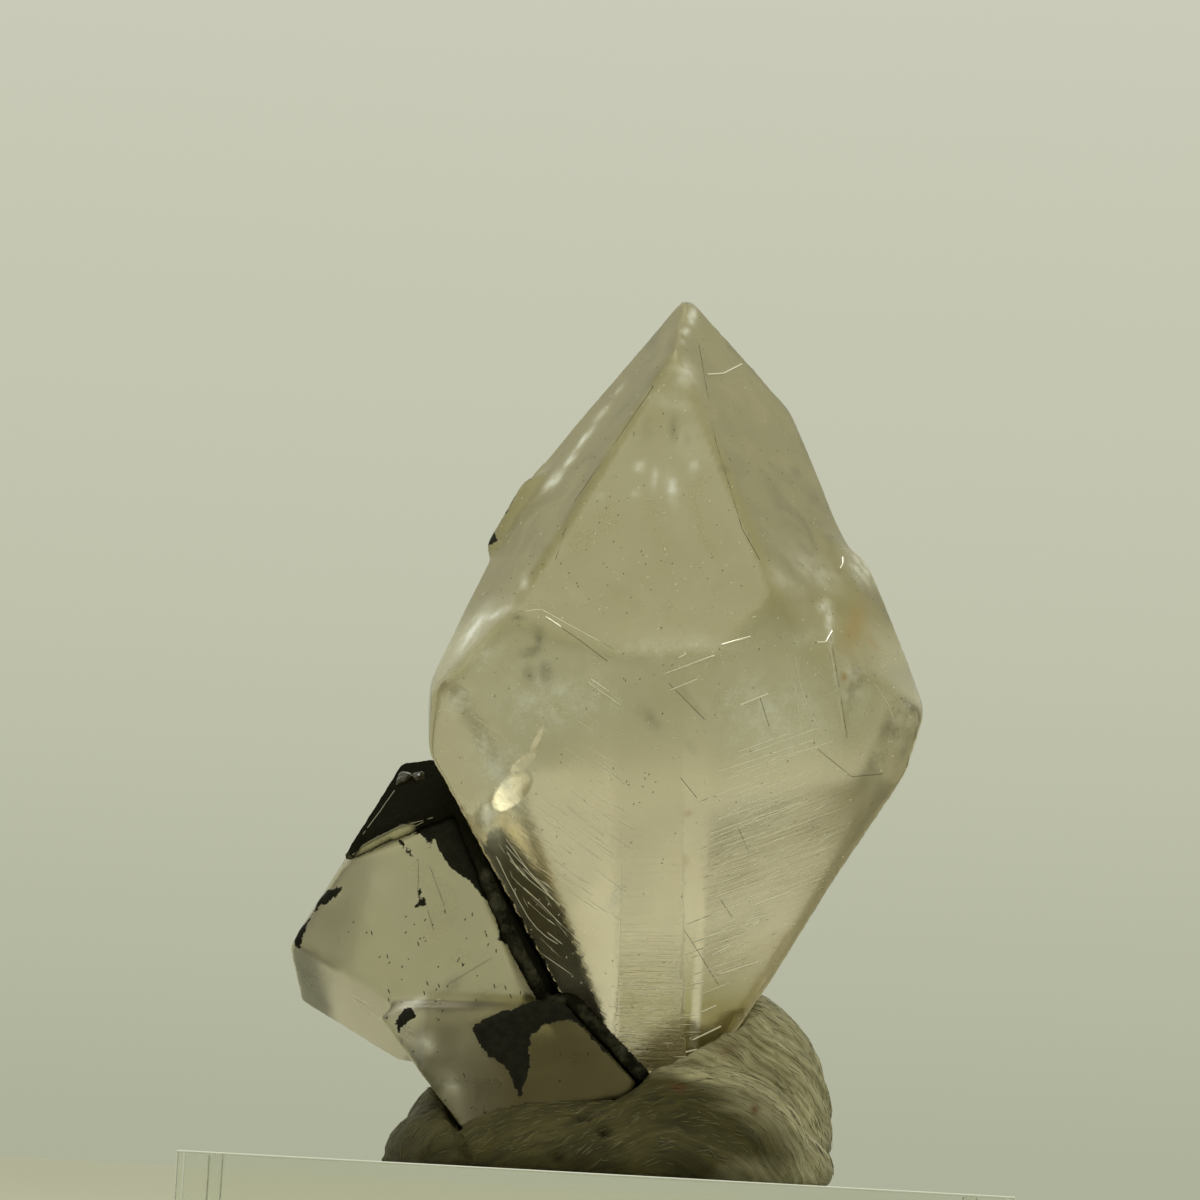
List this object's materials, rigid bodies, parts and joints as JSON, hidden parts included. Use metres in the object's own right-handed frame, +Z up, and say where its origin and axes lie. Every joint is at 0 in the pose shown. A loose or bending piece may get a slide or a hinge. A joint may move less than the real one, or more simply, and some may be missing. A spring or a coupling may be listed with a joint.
{
  "type": "calcite specimen",
  "caption": "Upright translucent calcite crystal grown against a broken, black-coated calcite block, set in mounting putty on a clear square acrylic base.",
  "frame": {"origin": "centre of the acrylic block's underside", "axes": "+Z up along the large crystal, -Y towards the front that the picture shows, +X to its right"},
  "size_m": [0.0508, 0.0508, 0.0711],
  "materials": {
    "clear_calcite": "gloss",
    "broken_calcite": "gloss",
    "black_mineral": "satin",
    "mounting_putty": "satin",
    "clear_acrylic": "polished"
  },
  "bodies": {
    "root": {"main_crystal": "clear_calcite", "side_crystal": "broken_calcite", "black_crust": "black_mineral", "putty": "mounting_putty", "acrylic_block": "clear_acrylic"}
  },
  "joints": []
}
